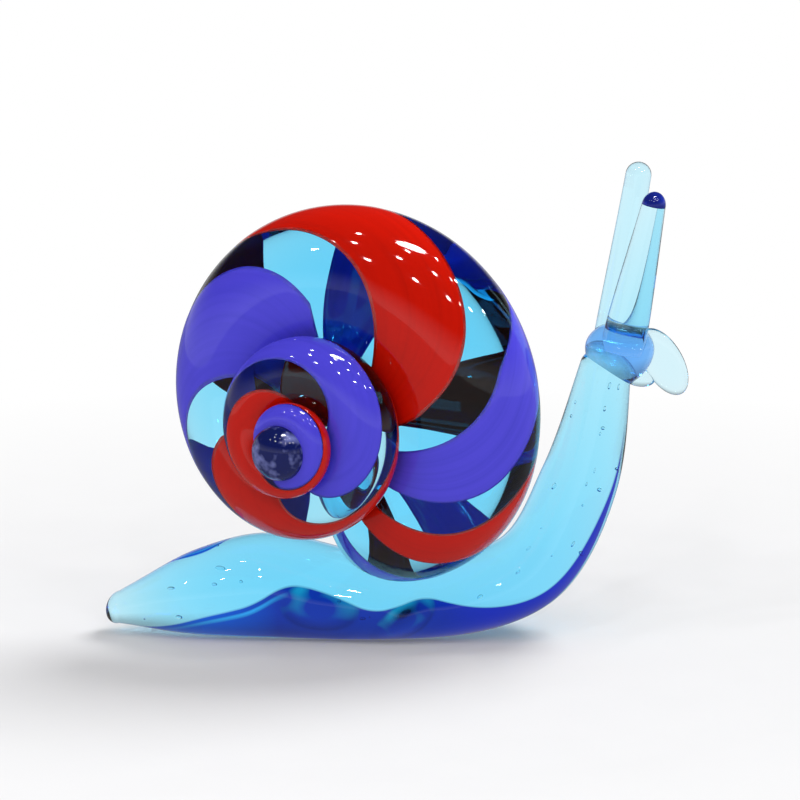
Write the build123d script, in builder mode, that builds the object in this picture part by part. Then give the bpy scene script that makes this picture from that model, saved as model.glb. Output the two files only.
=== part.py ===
from build123d import *

import os
from math import cos, degrees, hypot, log, pi, radians, sin, sqrt

# Glass snail ornament, worked hot from coloured rods. Millimetres, +X the way the snail looks,
# +Z up, and the origin on the sole under the shell.

# Body: one gather of clear glass, drawn out behind into a tail and up in front into a neck
tail_reach = 25.0
tail_tip_height = 1.9
tail_tip_thickness = 1.7
tail_tip_width = 2.2
hump_reach = 10.7
hump_height = 8.6
hump_width = 10.0
saddle_reach = 1.0
saddle_height = 6.2
saddle_width = 10.8
bend_reach = 11.2
bend_height = 5.4
bend_thickness = 7.0
bend_width = 9.4
bend_tilt = 42.0
neck_root_reach = 15.8
neck_root_height = 13.4
neck_root_thickness = 6.7
neck_root_width = 7.0
neck_root_tilt = 70.0
neck_top_reach = 18.3
neck_top_height = 25.0
neck_top_thickness = 4.0
neck_top_width = 4.3
neck_top_tilt = 80.0
sole_sink = 0.7

# Shell: a tapered cane wound up into a cone, counted in turns back from its mouth under the shell
cane_radius = 9.15
cane_growth = 2.086
cane_squash = 0.75
winding_ratio = 1.469
uneven_height = -0.178
uneven_side = -0.033
whorl_gap = 0.02
cane_turns = 2.75
apex_taper_turns = 0.45
apex_taper = 0.65
axis_left = -0.437
axis_down = -0.075
shell_reach = -3.1
shell_side = 3.0
shell_rest = 5.0
mouth_end = -0.02
mouth_round_turns = 0.07
mouth_rounding = 0.72
mouth_pinch_turns = 0.22
mouth_thinning = 0.22
mouth_tuck = 0.34

# Stripes: two opaque rods laid into the cane on opposite sides, and twisted with it
stripe_twist_turns = 4.0
stripe_front_turn = 0.34
mouth_twist_turns = 0.41
mouth_twist = 272.0
stripe_width = 120.0
stripe_depth = 0.16
apex_widening = 55.0
apex_widening_start = 1.5
mouth_narrowing = 0.55
far_lag = 40.0
apex_bead_radius = 2.35
apex_bead_height = 1.75
apex_bead_proud = 0.33

# Head: a bluer dab over the top of the neck, two feelers, and a mouth pinched flat
head_ahead = 0.85
head_width = 6.0
head_depth = 5.9
head_top = 2.2
head_drop = 3.4
head_point = 1.4
near_feeler_ahead = 0.92
near_feeler_base = 2.0
near_feeler_middle = 1.6
near_feeler_tip = 1.02
near_feeler_length = 12.8
near_feeler_lean = 11.3
far_feeler_ahead = -0.04
far_feeler_base = 1.45
far_feeler_middle = 1.2
far_feeler_tip = 1.1
far_feeler_length = 15.9
far_feeler_lean = 9.4
feeler_spread = 1.5
feeler_splay = 2.0
feeler_root_ratio = 0.6
feeler_swell_ratio = 1.25
feeler_swell_place = 0.1
feeler_middle_place = 0.45
eye_tip_height = 1.2
lobe_length = 6.4
lobe_width = 3.3
lobe_thickness = 1.3
lobe_ahead = 4.6
lobe_below = 1.2
lobe_tilt = 30.0
lobe_edge_ratio = 0.9
bridge_ahead = 2.5
bridge_below = 2.6
bridge_tilt = -10.0
bridge_length = 2.8
bridge_width = 1.5

# Fits and fineness of the lofts
seat_gap = 0.03
inlay_gap = 0.03
body_stations = 28
body_seam = 30.0
station_twist = 28.0
station_winding = 430.0


def mix(start, end, share):
    return start + (end - start) * share


# Body form
def body_rows():
    """Rows along the body from tail to neck: ahead, up, tilt, width, thickness."""
    hump_thickness = hump_height + sole_sink
    saddle_thickness = saddle_height + sole_sink
    rows = [(-tail_reach, tail_tip_height, 0.0, tail_tip_width / 2, tail_tip_thickness / 2)]
    for share in (0.03, 0.16, 0.55):
        swell = sin(share * pi / 2)
        rows.append((
            mix(-tail_reach, -hump_reach, share),
            mix(tail_tip_height, hump_thickness / 2 - sole_sink, swell),
            0.0,
            mix(tail_tip_width, hump_width, swell),
            mix(tail_tip_thickness, hump_thickness, swell),
        ))
    rows.append((-hump_reach, hump_thickness / 2 - sole_sink, 0.0, hump_width, hump_thickness))
    rows.append((saddle_reach, saddle_thickness / 2 - sole_sink, 0.0, saddle_width, saddle_thickness))
    rows.append((bend_reach, bend_height, bend_tilt, bend_width, bend_thickness))
    rows.append((neck_root_reach, neck_root_height, neck_root_tilt, neck_root_width, neck_root_thickness))
    rows.append((neck_top_reach, neck_top_height, neck_top_tilt, neck_top_width, neck_top_thickness))
    return rows


def row_slope(rows, places, at, column):
    """Change of one column with distance along the body, at a row."""
    before = max(at - 1, 0)
    after = min(at + 1, len(rows) - 1)
    return (rows[after][column] - rows[before][column]) / (places[after] - places[before])


def body_row_at(rows, places, place):
    """Row at a distance along the body, on a smooth curve through the rows."""
    at = max(index for index in range(len(rows) - 1) if places[index] <= place)
    span = places[at + 1] - places[at]
    share = (place - places[at]) / span
    row = []
    for column in range(len(rows[at])):
        bend_in = row_slope(rows, places, at, column) * span
        bend_out = row_slope(rows, places, at + 1, column) * span
        ease = share**2 * (3 - 2 * share)
        middle = mix(rows[at][column], rows[at + 1][column], ease)
        row.append(middle + share * (1 - share) * ((1 - share) * bend_in - share * bend_out))
    return row


def oval_section(plane, half_across, half_up, corners=4, first_corner=0.0):
    """Oval face drawn as equal arcs between corners, so that neighbouring sections line up in a loft."""
    arc_size = 360 / corners
    with BuildSketch(plane) as section:
        with BuildLine():
            for corner in range(corners):
                start = first_corner + arc_size * corner
                EllipticalCenterArc((0, 0), half_across, half_up, start, arc_size=arc_size)
        make_face()
    return section.sketch


def body_form(grow):
    """The body before its sole and its seat are cut, with its skin moved out by grow."""
    rows = body_rows()
    places = [0.0]
    for row, after in zip(rows, rows[1:]):
        places.append(places[-1] + hypot(after[0] - row[0], after[1] - row[1]))
    sections = []
    for station in range(body_stations + 1):
        place = places[-1] * station / body_stations
        ahead, up, tilt, width, thickness = body_row_at(rows, places, place)
        along = Vector(cos(radians(tilt)), 0, sin(radians(tilt)))
        plane = Plane(origin=(ahead, 0, up), x_dir=(0, 1, 0), z_dir=along)
        sections.append(oval_section(plane, width / 2 + grow, thickness / 2 + grow, 3, body_seam))
    with BuildPart() as form:
        loft(sections)
    return form.part


# Shell form
axis_out = Vector(axis_left, -sqrt(1 - axis_left**2 - axis_down**2), axis_down)
axis_up = (Vector(0, 0, 1) - axis_out * axis_out.Z).normalized()
axis_side = axis_up.cross(axis_out)
whorl_reach = (1 + 1 / cane_growth + whorl_gap) / (1 - 1 / cane_growth)
whorl_climb = sqrt(whorl_reach**2 - winding_ratio**2)


def spread(turn):
    """Size of the winding at a turn, as a share of the size it grows to at the mouth."""
    uneven = 1 + uneven_height * cos(2 * pi * turn) + uneven_side * sin(2 * pi * turn)
    return cane_growth**-turn * uneven


def mouth_pinch(turn, amount):
    return 1 - amount * max(0.0, 1 - turn / mouth_pinch_turns) ** 2


def cane_radius_at(turn):
    """Half width of the cane, rounded off at the mouth and drawn thin at the apex."""
    rounding = max(0.0, 1 - (turn - mouth_end) / mouth_round_turns)
    mouth = mouth_pinch(turn, mouth_thinning) * sqrt(1 - mouth_rounding * rounding**2)
    apex = 1 - apex_taper * max(0.0, 1 - (cane_turns - turn) / apex_taper_turns) ** 2
    return cane_radius * spread(turn) * mouth * apex


def out_from_axis(turn):
    clock = pi - 2 * pi * turn
    return axis_up * cos(clock) + axis_side * sin(clock)


def cane_climb(turn):
    """How far the cane has climbed along the shell's axis."""
    return cane_squash * whorl_climb * cane_radius * (1 - spread(turn))


def cane_centre(turn):
    """Centre of the cane, from the foot of the shell's axis."""
    wind = winding_ratio * cane_radius * spread(turn) * mouth_pinch(turn, mouth_tuck)
    return out_from_axis(turn) * wind + axis_out * cane_climb(turn)


def cane_point(turn, angle, radius):
    across = out_from_axis(turn) * (radius * cos(angle))
    return cane_centre(turn) + across + axis_out * (radius * cane_squash * sin(angle))


def lowest_of_cane():
    """Lowest point of the cane's first turn, measured from the foot of the axis."""
    turns = [step / 200 for step in range(-4, 60)]
    angles = [step * pi / 90 for step in range(180)]
    return min(cane_point(turn, angle, cane_radius_at(turn)).Z for turn in turns for angle in angles)


axis_foot = Vector(shell_reach, shell_side, shell_rest - lowest_of_cane())


def cane_plane(turn):
    """Plane of the cane's section at a turn: X away from the shell's axis, Y along it."""
    out = out_from_axis(turn)
    return Plane(origin=axis_foot + cane_centre(turn), x_dir=out, z_dir=out.cross(axis_out))


def red_angle(turn):
    """Where the red stripe's middle lies round the cane, in degrees."""
    twist = stripe_twist_turns * (cane_growth**-turn - cane_growth**-stripe_front_turn)
    return 90 + 360 * twist + mouth_twist * max(0.0, 1 - turn / mouth_twist_turns) ** 2


def laid_angle(rod_angle):
    """Angle round the cane at which a line of the twisted rod lies, which lags on the far side."""
    return rod_angle + far_lag * (1 - sin(radians(rod_angle))) / 2


def stripe_widths(turn):
    """Widths of the red and the violet stripe round the cane, in degrees."""
    narrow = 1 - mouth_narrowing * max(0.0, 1 - turn / mouth_pinch_turns)
    share = (turn - apex_widening_start) / (cane_turns - apex_widening_start)
    widen = apex_widening * min(1.0, max(0.0, share))
    return (stripe_width - widen) * narrow, (stripe_width + widen) * narrow


def station_list():
    """Turns at which the cane's sections stand, closer where the stripes twist fast."""
    turns = [mouth_end]
    while turns[-1] < cane_turns:
        turn = turns[-1]
        even_twist = 360 * stripe_twist_turns * log(cane_growth) * cane_growth**-turn
        extra_twist = 2 * mouth_twist / mouth_twist_turns * max(0.0, 1 - turn / mouth_twist_turns)
        turns.append(turn + station_twist / (even_twist + extra_twist + station_winding))
    return [mix(mouth_end, cane_turns, (turn - mouth_end) / (turns[-1] - mouth_end)) for turn in turns]


station_turns = station_list()


def cane_section(turn, arcs):
    """Closed section of the cane from arcs of radius, start and end, joined by straight sides."""
    with BuildSketch(cane_plane(turn)) as section:
        with BuildLine():
            edges = []
            for radius, start, end in arcs:
                half_up = radius * cane_squash
                arc = EllipticalCenterArc((0, 0), radius, half_up, start % 360, arc_size=end - start)
                edges.append(arc)
            for edge, after in zip(edges, edges[1:] + edges[:1]):
                Line(edge @ 1, after @ 0)
        make_face()
    return section.sketch


def plain_cane(grow):
    """The whole cane without its grooves, with its skin moved out by grow."""
    sections = []
    for turn in station_turns:
        radius = cane_radius_at(turn) + grow
        sections.append(oval_section(cane_plane(turn), radius, radius * cane_squash))
    with BuildPart() as form:
        loft(sections)
    return form.part


def stripe_section(turn, middle, width):
    """Section of a stripe, which fills its groove but for the inlay gap."""
    radius = cane_radius_at(turn)
    floor = radius * (1 - stripe_depth) + inlay_gap
    side_gap = degrees(inlay_gap / (radius * cane_squash))
    start = laid_angle(middle - width / 2) + side_gap
    end = laid_angle(middle + width / 2) - side_gap
    return cane_section(turn, [(radius, start, end), (floor, end, start)])


def grooved_section(turn):
    """Section of the clear cane, with a groove for each stripe."""
    radius = cane_radius_at(turn)
    floor = radius * (1 - stripe_depth)
    red_width, violet_width = stripe_widths(turn)
    red_start = laid_angle(red_angle(turn) - red_width / 2)
    red_end = laid_angle(red_angle(turn) + red_width / 2)
    violet_start = laid_angle(red_angle(turn) + 180 - violet_width / 2)
    violet_end = laid_angle(red_angle(turn) + 180 + violet_width / 2)
    return cane_section(turn, [
        (floor, red_start, red_end),
        (radius, red_end, violet_start),
        (floor, violet_start, violet_end),
        (radius, violet_end, red_start + 360),
    ])


# Head forms
head_centre = Vector(neck_top_reach + head_ahead, 0, neck_top_height)
lobe_centre = Vector(neck_top_reach + lobe_ahead, 0, neck_top_height - lobe_below)


def turned_plane(origin, along):
    """Plane for a turned profile: X away from the axis, Y along it."""
    out = along.cross(Vector(0, 1, 0)).normalized()
    return Plane(origin=origin, x_dir=out, z_dir=out.cross(along))


def dab_form(centre, along, across, half_across, half_side, top, drop, point=1.0, start=-84):
    """A dab of glass lofted along its axis: rounded above, and rounded or pointed below."""
    sections = []
    for angle in range(start, 85, 12):
        reach = top if angle > 0 else drop
        swell = cos(radians(angle)) ** (1.0 if angle > 0 else point)
        plane = Plane(origin=centre + along * (reach * sin(radians(angle))), x_dir=across, z_dir=along)
        sections.append(oval_section(plane, half_across * swell, half_side * swell))
    with BuildPart() as form:
        loft(sections)
    return form.part


def head_form(grow):
    return dab_form(
        head_centre, Vector(0, 0, 1), Vector(0, 1, 0),
        head_width / 2 + grow, head_depth / 2 + grow, head_top + grow, head_drop + grow, head_point,
    )


def lobe_form(grow):
    half = lobe_thickness / 2 + grow
    lean = radians(90 + lobe_tilt)
    face = Plane(origin=lobe_centre, x_dir=(cos(lean), 0, sin(lean)), z_dir=(0, -1, 0))
    with BuildPart() as form:
        with BuildSketch(face):
            Ellipse(lobe_length / 2 + grow, lobe_width / 2 + grow)
        extrude(amount=half, both=True)
        fillet(form.edges(), half * lobe_edge_ratio)
    return form.part


def feeler_axis(lean, side):
    """The way a feeler points: leaning ahead, and splayed to its side."""
    ahead = sin(radians(lean))
    splay = radians(feeler_splay)
    return Vector(ahead, side * sin(splay), cos(radians(lean)) * cos(splay)).normalized()


def feeler_root(ahead, side):
    return Vector(neck_top_reach + ahead, side * feeler_spread, neck_top_height)


def feeler_form(root, along, base, middle, tip, length, round_tip):
    """A feeler swelling from its root and drawn out to its tip, which is round or cut flat."""
    root_radius = base * feeler_root_ratio
    swell = (base * feeler_swell_ratio, length * feeler_swell_place)
    waist = (middle, length * feeler_middle_place)
    with BuildPart() as form:
        with BuildSketch(turned_plane(root, along)):
            with BuildLine():
                Line((0, 0), (root_radius, 0))
                Bezier((root_radius, 0), swell, waist, (tip, length))
                if round_tip:
                    end = CenterArc((0, length), tip, 0, 90) @ 1
                else:
                    end = Line((tip, length), (0, length)) @ 1
                Line(end, (0, 0))
            make_face()
        revolve(axis=Axis(root, along))
    return form.part


os.makedirs("parts", exist_ok=True)
shell_seat = plain_cane(seat_gap)
neck_seat = body_form(seat_gap)
head_seat = head_form(seat_gap)
lobe_seat = lobe_form(seat_gap)

# Body, standing on its cut sole with the shell sunk into its back
with BuildPart() as body:
    add(body_form(0))
    split(bisect_by=Plane.XY, keep=Keep.TOP)
    add(shell_seat, mode=Mode.SUBTRACT)
body.part.label = "body"
export_step(body.part, "parts/body.step")

# Shell cane with a groove for each stripe, and the stripes laid into it
with BuildPart() as shell_cane:
    loft([grooved_section(turn) for turn in station_turns])
shell_cane.part.label = "shell_cane"
export_step(shell_cane.part, "parts/shell_cane.step")

with BuildPart() as red_stripe:
    loft([stripe_section(turn, red_angle(turn), stripe_widths(turn)[0]) for turn in station_turns])
red_stripe.part.label = "red_stripe"
export_step(red_stripe.part, "parts/red_stripe.step")

with BuildPart() as violet_stripe:
    loft([stripe_section(turn, red_angle(turn) + 180, stripe_widths(turn)[1]) for turn in station_turns])
violet_stripe.part.label = "violet_stripe"
export_step(violet_stripe.part, "parts/violet_stripe.step")

# Bead that closes the apex, pressed into the last whorl
with BuildPart() as apex_bead:
    add(dab_form(
        axis_foot + axis_out * (cane_climb(cane_turns) + apex_bead_proud), axis_out, axis_up,
        apex_bead_radius, apex_bead_radius, apex_bead_height, apex_bead_height,
    ))
    add(shell_seat, mode=Mode.SUBTRACT)
apex_bead.part.label = "apex_bead"
export_step(apex_bead.part, "parts/apex_bead.step")

# Head, seated over the top of the neck
with BuildPart() as head:
    add(head_form(0))
    add(neck_seat, mode=Mode.SUBTRACT)
head.part.label = "head"
export_step(head.part, "parts/head.step")

# Feelers, seated on the head, the far one fused to the root of the near one
near_root = feeler_root(near_feeler_ahead, -1)
near_along = feeler_axis(near_feeler_lean, -1)


def near_feeler_form(grow):
    return feeler_form(
        near_root, near_along, near_feeler_base + grow, near_feeler_middle + grow, near_feeler_tip + grow,
        near_feeler_length, False,
    )


with BuildPart() as near_feeler:
    add(near_feeler_form(0))
    add(head_seat, mode=Mode.SUBTRACT)
    add(neck_seat, mode=Mode.SUBTRACT)
near_feeler.part.label = "near_feeler"
export_step(near_feeler.part, "parts/near_feeler.step")

with BuildPart() as far_feeler:
    add(feeler_form(
        feeler_root(far_feeler_ahead, 1), feeler_axis(far_feeler_lean, 1),
        far_feeler_base, far_feeler_middle, far_feeler_tip, far_feeler_length - far_feeler_tip, True,
    ))
    add(head_seat, mode=Mode.SUBTRACT)
    add(neck_seat, mode=Mode.SUBTRACT)
    add(near_feeler_form(seat_gap), mode=Mode.SUBTRACT)
far_feeler.part.label = "far_feeler"
export_step(far_feeler.part, "parts/far_feeler.step")

# Dark dome fused on the end of the near feeler
with BuildPart() as near_eye_tip:
    add(dab_form(
        near_root + near_along * near_feeler_length, near_along, turned_plane(near_root, near_along).x_dir,
        near_feeler_tip, near_feeler_tip, eye_tip_height, eye_tip_height, start=0,
    ))
near_eye_tip.part.label = "near_eye_tip"
export_step(near_eye_tip.part, "parts/near_eye_tip.step")

# Mouth: a lobe pinched flat on the front of the head, and a small bridge of glass down to the neck
with BuildPart() as mouth_lobe:
    add(lobe_form(0))
    add(head_seat, mode=Mode.SUBTRACT)
mouth_lobe.part.label = "mouth_lobe"
export_step(mouth_lobe.part, "parts/mouth_lobe.step")

bridge_centre = Vector(neck_top_reach + bridge_ahead, 0, neck_top_height - bridge_below)
bridge_along = Vector(cos(radians(bridge_tilt)), 0, sin(radians(bridge_tilt)))
with BuildPart() as mouth_bridge:
    add(dab_form(
        bridge_centre, bridge_along, Vector(0, 1, 0),
        bridge_width / 2, bridge_width / 2, bridge_length / 2, bridge_length / 2,
    ))
    add(head_seat, mode=Mode.SUBTRACT)
    add(neck_seat, mode=Mode.SUBTRACT)
    add(lobe_seat, mode=Mode.SUBTRACT)
mouth_bridge.part.label = "mouth_bridge"
export_step(mouth_bridge.part, "parts/mouth_bridge.step")
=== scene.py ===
from math import cos, pi, radians, sin, sqrt

import bmesh
import bpy
import numpy as np
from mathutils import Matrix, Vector
from mathutils.bvhtree import BVHTree


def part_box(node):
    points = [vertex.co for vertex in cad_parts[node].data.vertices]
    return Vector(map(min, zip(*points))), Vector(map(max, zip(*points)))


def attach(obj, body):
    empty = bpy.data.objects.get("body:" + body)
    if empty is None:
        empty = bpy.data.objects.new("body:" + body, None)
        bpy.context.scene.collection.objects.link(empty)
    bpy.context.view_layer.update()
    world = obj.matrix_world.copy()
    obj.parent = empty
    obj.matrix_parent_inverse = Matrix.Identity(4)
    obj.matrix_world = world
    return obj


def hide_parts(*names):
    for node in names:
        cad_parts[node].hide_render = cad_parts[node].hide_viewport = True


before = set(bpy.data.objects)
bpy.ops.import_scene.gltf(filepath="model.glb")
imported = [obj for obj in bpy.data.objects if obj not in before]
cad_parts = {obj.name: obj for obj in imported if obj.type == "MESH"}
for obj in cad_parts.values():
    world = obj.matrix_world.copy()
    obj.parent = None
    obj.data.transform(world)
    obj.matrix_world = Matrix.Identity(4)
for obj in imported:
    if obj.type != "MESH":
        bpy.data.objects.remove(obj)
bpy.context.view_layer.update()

bl_info = {
    "name": "Glass snail",
    "version": (1, 0, 0),
    "blender": (4, 5, 0),
    "location": "3D View > Sidebar > Snail",
    "description": "Builds a lamp-worked glass snail with a wound, striped shell",
    "category": "Add Mesh",
}

MM = 0.001


def length(name, description, millimetres):
    """A length property, written here in millimetres."""
    return bpy.props.FloatProperty(
        name=name, description=description, default=millimetres * MM, unit="LENGTH", precision=5
    )


def angle(name, description, degrees):
    """An angle property, written here in degrees."""
    return bpy.props.FloatProperty(
        name=name, description=description, default=radians(degrees), subtype="ANGLE", unit="ROTATION"
    )


def number(name, description, value):
    """A plain number property, such as a ratio or a count of turns."""
    return bpy.props.FloatProperty(name=name, description=description, default=value, precision=3)


def power(name, description, watts):
    """A lamp's power property."""
    return bpy.props.FloatProperty(name=name, description=description, default=watts, unit="POWER")


def linear(hex_colour):
    """sRGB hex colour as linear red, green and blue."""
    parts = [int(hex_colour[at:at + 2], 16) / 255 for at in (1, 3, 5)]
    return tuple(c / 12.92 if c <= 0.04045 else ((c + 0.055) / 1.055) ** 2.4 for c in parts)


def colour(name, description, hex_colour):
    """A colour property, written here as an sRGB hex value."""
    return bpy.props.FloatVectorProperty(
        name=name, description=description, default=linear(hex_colour), subtype="COLOR", min=0, max=1
    )


class SnailBodySizes(bpy.types.PropertyGroup):
    """Sizes of the clear body, from the tail to the top of the neck."""

    tail_reach: length("Tail reach", "From the origin back to the tip of the tail", 25.0)
    tail_tip_height: length("Tail tip height", "Height of the tail's tip above the table", 1.9)
    tail_tip_thickness: length("Tail tip thickness", "Height of the glass near the tail's tip", 1.7)
    tail_tip_width: length("Tail tip width", "Width of the glass near the tail's tip", 2.2)
    hump_reach: length("Hump reach", "From the origin back to the thickest part of the tail", 10.7)
    hump_height: length("Hump height", "Height of the thickest part of the tail", 8.6)
    hump_width: length("Hump width", "Width of the thickest part of the tail", 10.0)
    saddle_reach: length("Saddle reach", "From the origin to the dip that carries the shell", 1.0)
    saddle_height: length("Saddle height", "Height of the dip that carries the shell", 6.2)
    saddle_width: length("Saddle width", "Width of the dip that carries the shell", 10.8)
    bend_reach: length("Bend reach", "From the origin to the bend up into the neck", 11.2)
    bend_height: length("Bend height", "Height of the middle of the bend", 5.4)
    bend_thickness: length("Bend thickness", "Thickness of the glass in the bend", 7.0)
    bend_width: length("Bend width", "Width of the glass in the bend", 9.4)
    bend_tilt: angle("Bend tilt", "Slope of the body in the bend", 42.0)
    neck_root_reach: length("Neck root reach", "From the origin to the root of the neck", 15.8)
    neck_root_height: length("Neck root height", "Height of the root of the neck", 13.4)
    neck_root_thickness: length("Neck root thickness", "Thickness of the neck at its root", 6.7)
    neck_root_width: length("Neck root width", "Width of the neck at its root", 7.0)
    neck_root_tilt: angle("Neck root tilt", "Slope of the neck at its root", 70.0)
    neck_top_reach: length("Neck top reach", "From the origin to the top of the neck", 18.3)
    neck_top_height: length("Neck top height", "Height of the top of the neck", 25.0)
    neck_top_thickness: length("Neck top thickness", "Thickness of the neck at its top", 4.0)
    neck_top_width: length("Neck top width", "Width of the neck at its top", 4.3)
    neck_top_tilt: angle("Neck top tilt", "Slope of the neck at its top", 80.0)
    sole_sink: length("Sole sink", "How much of the round foot is pressed flat", 0.7)
    sole_edge: length("Sole edge", "Rounding along the edge of the flat sole", 0.3)
    lump_rise: length("Lump rise", "Relief of the soft lumps on the near side of the foot", 0.35)


class SnailShellSizes(bpy.types.PropertyGroup):
    """Sizes of the cane that is wound up into the shell."""

    cane_radius: length("Cane radius", "Half width that the cane grows to at its mouth", 9.15)
    cane_growth: number("Cane growth", "Growth of the cane in one turn", 2.086)
    cane_squash: number("Cane squash", "Thickness of the cane as a share of its width", 0.75)
    winding_ratio: number("Winding ratio", "Radius of the winding as a share of the cane's", 1.469)
    uneven_height: number("Uneven height", "Unevenness of the winding up and down", -0.178)
    uneven_side: number("Uneven side", "Unevenness of the winding from side to side", -0.033)
    whorl_gap: number("Whorl gap", "Gap between whorls as a share of the cane", 0.02)
    cane_turns: number("Turns", "Turns from the mouth to the apex", 2.75)
    apex_taper_turns: number("Apex taper turns", "Turns over which the cane is drawn thin", 0.45)
    apex_taper: number("Apex taper", "Share of its width that the cane loses at the apex", 0.65)
    axis_left: number("Axis left", "How far the shell's axis turns to the tail", -0.437)
    axis_down: number("Axis down", "How far the shell's axis dips", -0.075)
    shell_reach: length("Shell reach", "From the origin to the foot of the shell's axis", -3.1)
    shell_side: length("Shell side", "Foot of the shell's axis behind the middle", 3.0)
    shell_rest: length("Shell rest", "Height of the shell's lowest point", 5.0)
    mouth_end: number("Mouth end", "Turn at which the cane ends in its mouth", -0.02)
    mouth_round_turns: number("Mouth rounding turns", "Turns over which the mouth is rounded", 0.07)
    mouth_rounding: number("Mouth rounding", "Share of its section that the mouth loses", 0.72)
    mouth_dome: length("Mouth dome", "How far the end of the cane bulges", 0.9)
    mouth_pinch_turns: number("Mouth pinch turns", "Turns over which the mouth is pinched", 0.22)
    mouth_thinning: number("Mouth thinning", "Share of its width that the pinch takes", 0.22)
    mouth_tuck: number("Mouth tuck", "How far the mouth is tucked in to the axis", 0.34)
    apex_bead_radius: length("Bead radius", "Half width of the bead that closes the apex", 2.35)
    apex_bead_height: length("Bead height", "Half height of the bead", 1.75)
    apex_bead_proud: length("Bead proud", "Middle of the bead above the cane's end", 0.33)


class SnailStripeSizes(bpy.types.PropertyGroup):
    """Lay of the two opaque stripes in the cane."""

    twist_turns: number("Twist", "Twist of the cane from apex to mouth, in turns", 4.0)
    front_turn: number("Front turn", "Turn at which the red stripe faces the viewer", 0.34)
    mouth_twist_turns: number("Mouth twist turns", "Turns over which the twist tightens", 0.41)
    mouth_twist: angle("Mouth twist", "Extra twist at the mouth", 272.0)
    width: angle("Stripe width", "Width of a stripe round the cane", 120.0)
    depth: number("Stripe depth", "Depth of a stripe as a share of the cane's radius", 0.16)
    apex_widening: angle("Apex widening", "What the violet stripe gains on the red one", 55.0)
    apex_widening_start: number("Widening start", "Turn at which the violet stripe widens", 1.5)
    mouth_narrowing: number("Mouth narrowing", "Share of its width a stripe loses", 0.55)
    cover: length("Clear cover", "How far the clear cane lies below the stripes", 0.03)
    edge_dip: length("Edge dip", "How far a stripe's edges sink into the cane", 0.09)
    edge_sway: angle("Edge sway", "Wander of a stripe's edges from hand work", 2.5)
    side_lag: angle("Side lag", "How far the twist lags on the far side of the shell", 55.0)
    closing_start: number("Closing start", "Turn at which the violet stripe starts to close up", 1.8)
    closing_end: number("Closing end", "Turn at which the violet stripe has met the red one", 2.0)


class SnailHeadSizes(bpy.types.PropertyGroup):
    """Sizes of the head, the feelers and the mouth."""

    head_ahead: length("Head ahead", "Middle of the head ahead of the neck's top", 0.85)
    head_width: length("Head width", "Width of the head from side to side", 6.0)
    head_depth: length("Head depth", "Depth of the head from front to back", 5.9)
    head_top: length("Head top", "Rise of the head above its middle", 2.2)
    head_drop: length("Head drop", "Drop of the head below its middle", 3.4)
    head_point: number("Head point", "How pointed the head's lower edge is", 1.4)
    near_ahead: length("Near feeler ahead", "Root of the near feeler ahead of the neck's top", 0.92)
    near_base: length("Near feeler base", "Half width of the near feeler at its root", 2.0)
    near_middle: length("Near feeler middle", "Half width that the near feeler narrows by", 1.6)
    near_tip: length("Near feeler tip", "Half width of the near feeler at its tip", 1.02)
    near_length: length("Near feeler length", "Length of the near feeler to its dark tip", 12.8)
    near_lean: angle("Near feeler lean", "Lean of the near feeler towards the front", 11.3)
    far_ahead: length("Far feeler ahead", "Root of the far feeler ahead of the neck's top", -0.04)
    far_base: length("Far feeler base", "Half width of the far feeler at its root", 1.45)
    far_middle: length("Far feeler middle", "Half width that the far feeler narrows by", 1.2)
    far_tip: length("Far feeler tip", "Half width of the far feeler at its tip", 1.1)
    far_length: length("Far feeler length", "Length of the far feeler with its round tip", 15.9)
    far_lean: angle("Far feeler lean", "Lean of the far feeler towards the front", 9.4)
    spread: length("Feeler spread", "Root of a feeler from the middle", 1.5)
    splay: angle("Feeler splay", "Lean of the feelers away from each other", 2.0)
    root_ratio: number("Feeler root", "Root of a feeler as a share of its base", 0.92)
    swell_ratio: number("Feeler swell", "Swell of a feeler as a share of its base", 1.0)
    swell_place: number("Swell place", "Place of the swell along a feeler", 0.1)
    middle_place: number("Middle place", "Place along a feeler where it narrows", 0.45)
    eye_height: length("Eye tip height", "Height of the dark dome on the near feeler", 1.2)
    seam: length("Seam", "How far fused pieces run into each other", 0.04)
    lobe_length: length("Lobe length", "Length of the pinched lobe", 6.4)
    lobe_width: length("Lobe width", "Width of the pinched lobe", 3.3)
    lobe_thickness: length("Lobe thickness", "Thickness of the pinched lobe", 1.3)
    lobe_ahead: length("Lobe ahead", "Middle of the lobe ahead of the neck's top", 4.6)
    lobe_below: length("Lobe below", "Middle of the lobe below the neck's top", 1.2)
    lobe_tilt: angle("Lobe tilt", "Lean of the lobe's long axis", 30.0)
    bridge_ahead: length("Bridge ahead", "Middle of the bridge ahead of the neck's top", 2.5)
    bridge_below: length("Bridge below", "Middle of the bridge below the neck's top", 2.6)
    bridge_tilt: angle("Bridge tilt", "Slope of the bridge", -10.0)
    bridge_length: length("Bridge length", "Length of the bridge", 2.8)
    bridge_width: length("Bridge width", "Width of the bridge", 1.5)


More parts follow.
